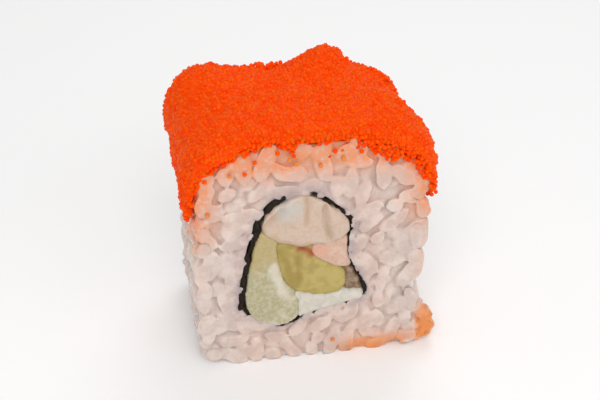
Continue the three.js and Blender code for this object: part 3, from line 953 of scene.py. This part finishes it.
def filling_mesh(node, sizes, swell, lumps, grooves=(), bulges=(), knife=0.1):
    """A piece of filling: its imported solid, swollen to meet its neighbours, lumpy, and uneven on the cuts.

    swell is in mm, lumps are [height, size] in mm. Each groove is a line of [x, z] on the front cut with its
    depth and width in mm, each bulge is [x, z, width, height] in mm, and knife is how uneven the cut is.
    """
    co, faces = skin(solid_of(node), sizes.filling_skin / MM)
    out = normals_of(co, faces)
    way = straight(co)
    height, size = lumps
    ends = np.abs(out[:, 1])
    side = swell + height * wavy(way * [1, 0.3, 1], size, len(node))
    co += out * (side * (1 - ends**2))[:, None]
    cut = knife * wavy(way, size * 0.8, 3 * len(node)) + knife * 0.4 * wavy(way, size * 0.25, 5 * len(node))
    for line, deep, wide in grooves:
        cut -= deep * np.exp(-((off_line(way, line) / wide) ** 2))
    for x, z, wide, high in bulges:
        cut += high * np.exp(-((way[:, 0] - x) ** 2 + (way[:, 2] - z) ** 2) / wide**2)
    co[:, 1] += np.sign(out[:, 1]) * cut * ends**2
    return smoothed(co, faces, 2, 0.4), faces


def band_along(co, lines, wide, seed):
    """A mark from 0 to 1 along lines of [x, z] on the front cut, that wanders a little."""
    way = straight(co)
    gap = off_line(way, lines) + 0.35 * wide * wavy(way * [1, 0.3, 1], 2.0, seed)
    return np.clip(1.3 - np.abs(gap) / wide, 0, 1)


# Lines of [x, z] in mm on the front cut, as the photograph shows them.
SHRIMP_GROOVE = [(-1.0, 33.4), (-0.9, 30.5), (-1.1, 28.2)]
SHRIMP_LOBES = [(2.3, 32.0), (2.0, 29.8), (2.1, 27.5), (2.9, 24.0)]
SHRIMP_FOLD = [(-8.6, 27.6), (-6.5, 29.1), (-5.0, 30.8)]
SHRIMP_RIM = [(-6.4, 26.0), (-4.0, 24.2), (-1.3, 23.8), (0.8, 23.5)]
# The salmon line below is a painted highlight, just inside its top and right edges.
SALMON_HIGHLIGHT = [(1.8, 22.4), (4.7, 21.8), (6.2, 18.9)]
AVOCADO_BANDS = [[(-2.6, 21.0), (-2.3, 17.9), (-2.6, 15.2)], [(-5.0, 22.2), (-4.1, 19.8), (-3.0, 15.8)]]
AVOCADO_STAIN = [(-1.9, 22.5), (-0.9, 22.1), (0.0, 21.6)]
CUCUMBER_SEEDS = [(-6.2, 19.8), (-6.4, 18.3), (-5.5, 16.8), (-4.7, 15.1), (-4.0, 13.0)]
CUCUMBER_EDGE = [(-8.2, 8.6), (-4.7, 7.7), (-2.3, 8.9)]


def way_marks(co, second=None, third=None):
    """What a piece of filling shows: the way its fibres run, and where its second and third colours are."""
    none = np.zeros(len(co))
    marks = {"second": none if second is None else second, "third": none if third is None else third}
    return {"way": straight(co) * [1, 0.12, 1] * MM, **marks}


def patch(co, x, z, wide, seed):
    """A mark from 0 to 1 round a place on the front cut, with an uneven edge."""
    way = straight(co)
    gap = np.hypot(way[:, 0] - x, way[:, 2] - z) / wide + 0.2 * wavy(way * [1, 0.3, 1], 1.6, seed)
    return np.clip(1.5 - gap, 0, 1)


class SUSHI_OT_seafood(bpy.types.Operator):
    """Make the shrimp, salmon and crab of the filling"""

    bl_idname = "sushi.seafood"
    bl_label = "Shrimp, salmon and crab"

    def execute(self, context):
        sizes, colours = context.scene.sushi_sizes, context.scene.sushi_colours
        grooves = [(SHRIMP_GROOVE, 0.6, 0.45), (SHRIMP_LOBES, 1.1, 0.45), (SHRIMP_FOLD, 0.9, 0.45)]
        bulges = [(-2.6, 27.6, 3.4, 0.5), (4.3, 27.6, 2.0, 0.5), (-3.8, 31.2, 1.8, 0.3)]
        mesh = filling_mesh("shrimp", sizes, 0.22, (0.18, 2.6), grooves, bulges)
        # Painted shade along the shrimp's grooves and folds and along its lower edge, in the tan colour.
        folds = [
            0.8 * band_along(mesh[0], SHRIMP_RIM, 0.6, 21),
            0.8 * band_along(mesh[0], SHRIMP_GROOVE, 0.5, 26),
            0.7 * band_along(mesh[0], SHRIMP_LOBES, 0.35, 32),
            0.7 * band_along(mesh[0], SHRIMP_FOLD, 0.35, 33),
        ]
        material = flesh(
            "Boiled shrimp",
            colours.shrimp,
            colours.shrimp_tan_and_fold_shade,
            2.4,
            0.6,
            (0.25, 0.5),
            0.06,
            middle=0.72,
            third=colours.shrimp_clear,
        )
        marks = way_marks(mesh[0], np.max(folds, axis=0), 0.8 * patch(mesh[0], -3.8, 30.8, 2.0, 27))
        make_piece("shrimp_flesh", mesh, ["shrimp"], material, marks)
        mesh = filling_mesh("salmon", sizes, 0.36, (0.12, 2.0), [(SALMON_HIGHLIGHT, 0.2, 0.4)])
        material = flesh(
            "Cured salmon",
            colours.salmon,
            colours.salmon_pale_and_highlight,
            1.4,
            0.4,
            (0.25, 0.45),
            0.05,
            middle=0.6,
            third=colours.salmon_coral,
        )
        # Painted highlight: a paler line on the salmon's cut.
        fat = 0.9 * band_along(mesh[0], SALMON_HIGHLIGHT, 0.45, 22)
        marks = way_marks(mesh[0], fat, 0.6 * patch(mesh[0], 1.2, 22.0, 1.2, 28))
        make_piece("salmon_flesh", mesh, ["salmon"], material, marks)
        # The crab's dark brown is painted shade of the hollow it lies in.
        mesh = filling_mesh("crab", sizes, 0.36, (0.3, 1.2), knife=0.3)
        material = flesh("Shredded crab", colours.crab, colours.crab_light, 0.9, 1.0, (0.3, 0.55), 0.15)
        make_piece("crab_in_painted_shade", mesh, ["crab"], material, way_marks(mesh[0]))
        return {"FINISHED"}


class SUSHI_OT_greens(bpy.types.Operator):
    """Make the avocado and the cucumber of the filling"""

    bl_idname = "sushi.greens"
    bl_label = "Avocado and cucumber"

    def execute(self, context):
        sizes, colours = context.scene.sushi_sizes, context.scene.sushi_colours
        grooves = [(AVOCADO_BANDS[0], 0.22, 0.5), (AVOCADO_STAIN, 0.6, 0.7)]
        mesh = filling_mesh("avocado", sizes, 0.36, (0.12, 3.5), grooves, knife=0.08)
        bands = np.max([band_along(mesh[0], band, 0.9, 24) for band in AVOCADO_BANDS], axis=0)
        material = flesh(
            "Ripe avocado",
            colours.avocado,
            colours.avocado_rim,
            4.0,
            0.3,
            (0.3, 0.5),
            0.03,
            middle=0.66,
            through=0.6,
            third=colours.avocado_stain,
        )
        marks = way_marks(mesh[0], 0.8 * bands, band_along(mesh[0], AVOCADO_STAIN, 0.8, 29))
        make_piece("avocado_flesh", mesh, ["avocado"], material, marks)
        mesh = filling_mesh("cucumber", sizes, 0.36, (0.1, 3.0), [(CUCUMBER_SEEDS, 0.2, 0.8)], knife=0.1)
        seeds = band_along(mesh[0], CUCUMBER_SEEDS, 0.9, 25)
        pale = [seeds, 0.9 * band_along(mesh[0], CUCUMBER_EDGE, 0.6, 30)]
        material = flesh(
            "Cut cucumber",
            colours.cucumber,
            colours.cucumber_seeds,
            3.0,
            0.4,
            (0.12, 0.4),
            0.04,
            middle=0.7,
            through=1.0,
            third=colours.cucumber_rim,
        )
        way = straight(mesh[0])
        top = np.clip((way[:, 2] - 18.6 + 0.8 * wavy(way * [1, 0.3, 1], 2.5, 31)) / 2.4, 0, 1)
        marks = way_marks(mesh[0], np.max(pale, axis=0), 0.9 * top * (1 - seeds))
        make_piece("cucumber_flesh", mesh, ["cucumber"], material, marks)
        return {"FINISHED"}


class SUSHI_OT_cheese(bpy.types.Operator):
    """Make the strip of soft cheese of the filling"""

    bl_idname = "sushi.cheese"
    bl_label = "Soft cheese"

    def execute(self, context):
        sizes, colours = context.scene.sushi_sizes, context.scene.sushi_colours
        mesh = filling_mesh("soft_cheese", sizes, 0.38, (0.2, 1.6), knife=0.25)
        pair = colours.cheese, colours.cheese_wet
        material = flesh("Whipped soft cheese", *pair, 1.5, 0.5, (0.35, 0.55), 0.05)
        make_piece("cheese_strip", mesh, ["soft_cheese"], material, way_marks(mesh[0]))
        return {"FINISHED"}


# ---- Roe ----

EGG_KINDS = [  # name, colour, second colour, share
    ("roe_eggs", "roe", "roe_pale", 0.36),
    ("deep_roe_eggs", "roe_deep", "roe", 0.34),
    ("pale_roe_eggs", "roe_pale", "roe", 0.3),
]


BED_SUNK = 0.9  # mm, how deep the blanket's underside lies in the rice


def from_axis(co, sizes):
    """Directions away from the middle line of the roll."""
    angle = roll_angle(co[:, 0], co[:, 2], sizes)
    return np.stack([np.cos(angle), np.zeros(len(co)), np.sin(angle)], axis=1)


def roe_bed(sizes):
    """What the eggs lie on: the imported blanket, drawn in by half an egg outside and sunk into the rice."""
    co, faces = solid_of("roe")
    sunk = co * [1, 0.88, 1] - BED_SUNK * from_axis(co, sizes)
    co, faces = skin(joined((co, faces), (sunk, faces)), 0.42)
    out = normals_of(co, faces)
    shown = np.sum(out * from_axis(co, sizes), axis=1) > -0.3
    co += out * (np.where(shown, -0.28, 0.1) + np.where(shown, 0.18, 0) * wavy(co, 1.5, 31))[:, None]
    for face in (FRONT, BACK):
        near = (co[:, 1] - face) * np.sign(face) > -1.0
        x, z = co[near, 0], co[near, 2]
        rise = 0.4 + 0.25 * (z - z.min()) / np.ptp(z)
        co[near, 2] = np.maximum(z, fringe(x, face) + rise)
    return smoothed(co, faces, 1), faces


def eggs_on_bed(bed, sizes, draw):
    """Places of the eggs all over the outside of the bed."""
    places, out = scattered(bed, 70000, draw)
    angle = roll_angle(places[:, 0], places[:, 2], sizes)
    height = np.hypot(places[:, 0], places[:, 2] - sizes.roll_height / MM / 2) - roll_radius(angle, sizes)
    face = np.where(places[:, 1] < 0, FRONT, BACK)
    edge = np.where(face < 0, fringe(places[:, 0], FRONT), fringe(places[:, 0], BACK))
    hanging = ((places[:, 1] - face) * np.sign(face) > -0.8) & (places[:, 2] < edge - 0.2)
    shown = (height > -0.55) & (np.sum(out * from_axis(places, sizes), axis=1) > -0.3) & ~hanging
    places = (places + out * draw.uniform(-0.24, -0.02, (len(places), 1)))[shown]
    return places[spread(places, sizes.egg_spacing / MM)]


def fringe_eggs(face, sizes, draw):
    """Places of the eggs that hang over the rice on a cut face, and of a few that have strayed below."""
    outward = np.sign(face)
    x = draw.uniform(-21.6, 21.6, 16000)
    z = draw.uniform(27, 43.5, 16000)
    radius = np.hypot(x, z - sizes.roll_height / MM / 2)
    rim = roll_radius(roll_angle(x, z, sizes), sizes) + 1.0 + 1.2 * np.clip((13 - np.abs(x)) / 4, 0, 1)
    edge = fringe(x, face)
    wander = 0.35 * wavy(np.stack([x, z, z], axis=1), 1.4, 33 + int(outward))
    below = edge + wander - z
    stray = draw.random(len(x)) < 0.02 * np.exp(-np.maximum(below, 0) / 1.1)
    good = (radius < rim) & ((below < 0) | (stray & (below < 4)))
    lift = draw.uniform(-0.9, 0.35, len(x))
    places = np.stack([x, face + outward * lift, z], axis=1)[good]
    return places[spread(places, sizes.egg_spacing / MM * 0.92)]


def egg_sizes(count, sizes, draw):
    whole = sizes.egg_size / MM / 2 * draw.uniform(0.86, 1.12, (count, 1))
    return whole * draw.uniform(0.93, 1.05, (count, 3))


def egg_mesh(places, sizes, draw):
    axes = lying(unit(draw.normal(size=places.shape)), 0, draw)
    return copies(*ball(2), places, axes, egg_sizes(len(places), sizes, draw))


class SUSHI_OT_roe(bpy.types.Operator):
    """Make the blanket of roe, egg by egg"""

    bl_idname = "sushi.roe"
    bl_label = "Roe"

    def execute(self, context):
        sizes, colours = context.scene.sushi_sizes, context.scene.sushi_colours
        draw = np.random.default_rng(sizes.seed + 1)
        bed = roe_bed(sizes)
        make_piece("roe_bed", bed, ["roe"], roe_jelly(colours))
        on_bed = eggs_on_bed(bed, sizes, draw)
        places = np.concatenate([on_bed, *[fringe_eggs(face, sizes, draw) for face in (FRONT, BACK)]])
        kind = draw.choice(len(EGG_KINDS), len(places), p=[share for *_, share in EGG_KINDS])
        for index, (name, colour, other, _) in enumerate(EGG_KINDS):
            mine = places[kind == index]
            co, faces = egg_mesh(mine, sizes, draw)
            shade = np.repeat(draw.random(len(mine)) ** 1.5, len(co) // len(mine))
            title = name.replace("_", " ").capitalize()
            material = fish_egg(title, getattr(colours, colour), getattr(colours, other))
            make_piece(name, (co, faces), ["roe"], material, {"shade": shade})
        return {"FINISHED"}


# Places of the stray eggs on the front cut: [x, z] in mm.
STRAY_FRONT = [
    (-16.6, 31.0), (-12.9, 37.8), (-3.6, 39.8), (-2.6, 39.0), (1.2, 38.2), (4.8, 39.2), (3.6, 3.2)
]
LUMP_EGGS = (0.5, 7.3)  # mm, the heights between which the lump carries eggs


class SUSHI_OT_stray_roe(bpy.types.Operator):
    """Make the stray eggs on the rice, and the soaked lump of them at its lower right edge"""

    bl_idname = "sushi.stray_roe"
    bl_label = "Stray roe"

    def execute(self, context):
        sizes, colours = context.scene.sushi_sizes, context.scene.sushi_colours
        draw = np.random.default_rng(sizes.seed + 2)
        middles, lengths = lump_balls()
        pick = draw.integers(0, len(middles), 500)
        out = unit(draw.normal(size=(500, 3)))
        out[:, 0] = np.abs(out[:, 0])
        lump = middles[pick] + out * (lengths[pick] - 0.25)
        inside = np.any(np.linalg.norm(lump[:, None] - middles, axis=2) < lengths[:, 0] - 0.4, axis=1)
        low, high = LUMP_EGGS
        lump = settled(lump[~inside & (lump[:, 2] < high) & (lump[:, 2] > low)], sizes)
        lump = lump[spread(lump, sizes.egg_spacing / MM * 2)]
        front = np.array([(x, FRONT - 0.1, z) for x, z in STRAY_FRONT])
        places = np.concatenate([lump, front])
        co, faces = egg_mesh(places, sizes, draw)
        shade = np.repeat(draw.random(len(places)), len(co) // len(places))
        material = fish_egg("Soaked roe eggs", colours.roe_soaked, colours.rice_soaked)
        make_piece("stray_roe_eggs", (co, faces), None, material, {"shade": shade})
        return {"FINISHED"}


# ---- Stage ----

# Degrees, near the photograph's own view of this slice, which is from about -16 and 32 with its image plane
# parallel to the cuts. This camera is aimed at the slice.
CAMERA_AZIMUTH, CAMERA_ELEVATION = -10.0, 33.5
CAMERA_DISTANCE = 0.208  # metres, worked out from how the slice narrows downwards
CAMERA_LENS = 74.0  # mm, for a frame 36 mm wide
ROOM_LIGHT = 0.48  # strength of the even white light from all sides
FLOOR_REACH = 3.0  # metres, from the middle of the floor to its edges
LAMPS = [  # name, azimuth and elevation in degrees, distance and size in metres, watts
    ("key", -12, 44, 0.6, 0.4, 1.65),
    ("back", 160, 55, 0.6, 0.4, 0.8),
    ("fill", 35, 24, 0.7, 0.6, 0.8),
]


def towards(azimuth, elevation):
    a, e = math.radians(azimuth), math.radians(elevation)
    return Vector((math.sin(a) * math.cos(e), -math.cos(a) * math.cos(e), math.sin(e)))


class SUSHI_OT_stage(bpy.types.Operator):
    """Make the pale floor, the soft lamps and the camera"""

    bl_idname = "sushi.stage"
    bl_label = "Stage"

    def execute(self, context):
        scene = context.scene
        low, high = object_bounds()
        middle = (low + high) / 2
        data = bpy.data.meshes.new("floor")
        corners = [(FLOOR_REACH * x, FLOOR_REACH * y, 0) for x, y in ((-1, -1), (1, -1), (1, 1), (-1, 1))]
        data.from_pydata(corners, [], [(0, 1, 2, 3)])
        white = scene.sushi_colours.floor
        board = food("White board", white, lambda t: {}, Roughness=0.6, Specular_IOR_Level=0.2)
        data.materials.append(board)
        floor = bpy.data.objects.new("floor", data)
        scene.collection.objects.link(floor)
        floor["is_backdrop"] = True
        for name, azimuth, elevation, distance, size, watts in LAMPS:
            lamp = bpy.data.lights.new(name, "AREA")
            lamp.shape, lamp.size, lamp.energy = "DISK", size, watts
            spot = bpy.data.objects.new(name, lamp)
            spot.location = middle + towards(azimuth, elevation) * distance
            spot.rotation_euler = towards(azimuth, elevation).to_track_quat("Z", "Y").to_euler()
            scene.collection.objects.link(spot)
        world = bpy.data.worlds.new("soft room")
        world.use_nodes = True
        world.node_tree.nodes["Background"].inputs["Color"].default_value = (1, 1, 1, 1)
        world.node_tree.nodes["Background"].inputs["Strength"].default_value = ROOM_LIGHT
        scene.world = world
        lens = bpy.data.cameras.new("camera")
        lens.lens, lens.sensor_width = CAMERA_LENS, 36
        lens.clip_start, lens.clip_end = 0.01, 10
        camera = bpy.data.objects.new("camera", lens)
        camera.location = middle + towards(CAMERA_AZIMUTH, CAMERA_ELEVATION) * CAMERA_DISTANCE
        camera.rotation_euler = towards(CAMERA_AZIMUTH, CAMERA_ELEVATION).to_track_quat("Z", "Y").to_euler()
        scene.collection.objects.link(camera)
        scene.camera = camera
        scene.view_settings.view_transform = "Standard"
        return {"FINISHED"}


# ---- The add-on ----

STEPS = (
    SUSHI_OT_rice,
    SUSHI_OT_nori,
    SUSHI_OT_seafood,
    SUSHI_OT_greens,
    SUSHI_OT_cheese,
    SUSHI_OT_roe,
    SUSHI_OT_stray_roe,
    SUSHI_OT_stage,
)


class SUSHI_PT_pieces(bpy.types.Panel):
    """Sizes, colours and steps of the slice"""

    bl_idname = "SUSHI_PT_pieces"
    bl_label = "Sushi roll slice"
    bl_space_type = "VIEW_3D"
    bl_region_type = "UI"
    bl_category = "Sushi"

    def draw(self, context):
        for group in (context.scene.sushi_sizes, context.scene.sushi_colours):
            box = self.layout.box()
            for name in group.__annotations__:
                box.prop(group, name)
        for step in STEPS:
            self.layout.operator(step.bl_idname)


CLASSES = (SushiSizes, SushiColours, *STEPS, SUSHI_PT_pieces)


def register():
    for made in CLASSES:
        bpy.utils.register_class(made)
    bpy.types.Scene.sushi_sizes = PointerProperty(type=SushiSizes)
    bpy.types.Scene.sushi_colours = PointerProperty(type=SushiColours)


def unregister():
    del bpy.types.Scene.sushi_colours
    del bpy.types.Scene.sushi_sizes
    for made in reversed(CLASSES):
        bpy.utils.unregister_class(made)


def main():
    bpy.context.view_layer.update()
    register()
    bpy.ops.sushi.rice()
    bpy.ops.sushi.nori()
    bpy.ops.sushi.seafood()
    bpy.ops.sushi.greens()
    bpy.ops.sushi.cheese()
    bpy.ops.sushi.roe()
    bpy.ops.sushi.stray_roe()
    bpy.ops.sushi.stage()


if __name__ == "__main__":
    main()
